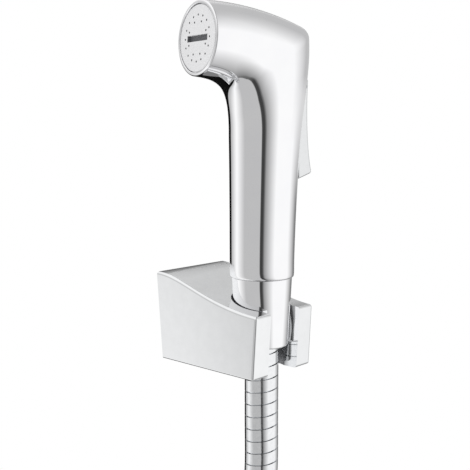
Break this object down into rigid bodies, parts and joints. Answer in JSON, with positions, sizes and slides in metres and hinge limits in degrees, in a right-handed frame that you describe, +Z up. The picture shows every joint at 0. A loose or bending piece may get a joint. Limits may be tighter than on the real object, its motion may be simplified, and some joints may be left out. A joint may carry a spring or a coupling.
{
  "type": "handheld bidet shower",
  "caption": "Chrome trigger hand spray that rests in a wall bracket by its conical nut, with a coiled metal hose and a hexagon supply nut.",
  "frame": {"origin": "middle of the bracket's back, on the wall", "axes": "the wall is the plane y = 0, -Y points out of the wall, +Z up; the hand spray, nut and hose stand on the vertical axis x = 0, y = -0.04"},
  "size_m": [0.1665, 0.0824, 0.3844],
  "materials": {
    "bracket_chrome": "bright chrome plating",
    "body_chrome": "bright chrome plating",
    "lever_chrome": "bright chrome plating",
    "nut_chrome": "bright chrome plating",
    "hose_chrome": "bright chromed steel strip",
    "spray_plate": "moulded white plastic with a satin face",
    "white_moulding": "moulded off-white plastic",
    "rubber": "moulded rubber",
    "brass": "turned",
    "steel": "drawn wire and turned stainless steel",
    "tie_band": "woven hook and loop band"
  },
  "bodies": {
    "root": {"bracket_body": "bracket_chrome", "wall_plate": "white_moulding", "lock_screw": "steel", "handset_body": "body_chrome", "spray_plate": "spray_plate", "face_seal": "rubber", "water_core": "white_moulding", "core_seal": "rubber", "trigger_pin": "steel", "valve_spring": "steel", "valve_gland": "brass", "stem_seal": "rubber", "valve_plug": "brass", "cone_nut": "nut_chrome", "cone_washer": "rubber", "cone_ferrule": "brass", "hose": "hose_chrome", "hose_coil": "hose_chrome", "hose_tail": "hose_chrome", "coil_tie": "tie_band", "end_ferrule": "brass", "end_washer": "rubber"},
    "lever": {"trigger": "lever_chrome"},
    "valve": {"valve_stem": "brass", "valve_washer": "rubber"},
    "supply_nut": {"end_nut": "nut_chrome"}
  },
  "joints": [
    {"name": "trigger_press", "type": "hinge", "parent": "root", "child": "lever", "pos_m": [0.01401, -0.04375, 0.09625], "axis": [0.2588, 0.9659, 0], "range_deg": [0, 5], "stiffness_Nm_per_rad": 1, "springref_deg": -6.88},
    {"name": "valve_slide", "type": "slide", "parent": "root", "child": "valve", "axis": [-0.9659, 0.2588, 0], "range_m": [0, 0.00215], "deforming": ["valve_spring"]},
    {"name": "supply_nut_swivel", "type": "hinge", "parent": "root", "child": "supply_nut", "pos_m": [-0.073, -0.0704, -0.248], "axis": [0, 0, 1], "continuous": true}
  ],
  "couplings": [
    {"joint": "valve_slide", "follows": "trigger_press", "m_per_rad": 0.0242}
  ]
}
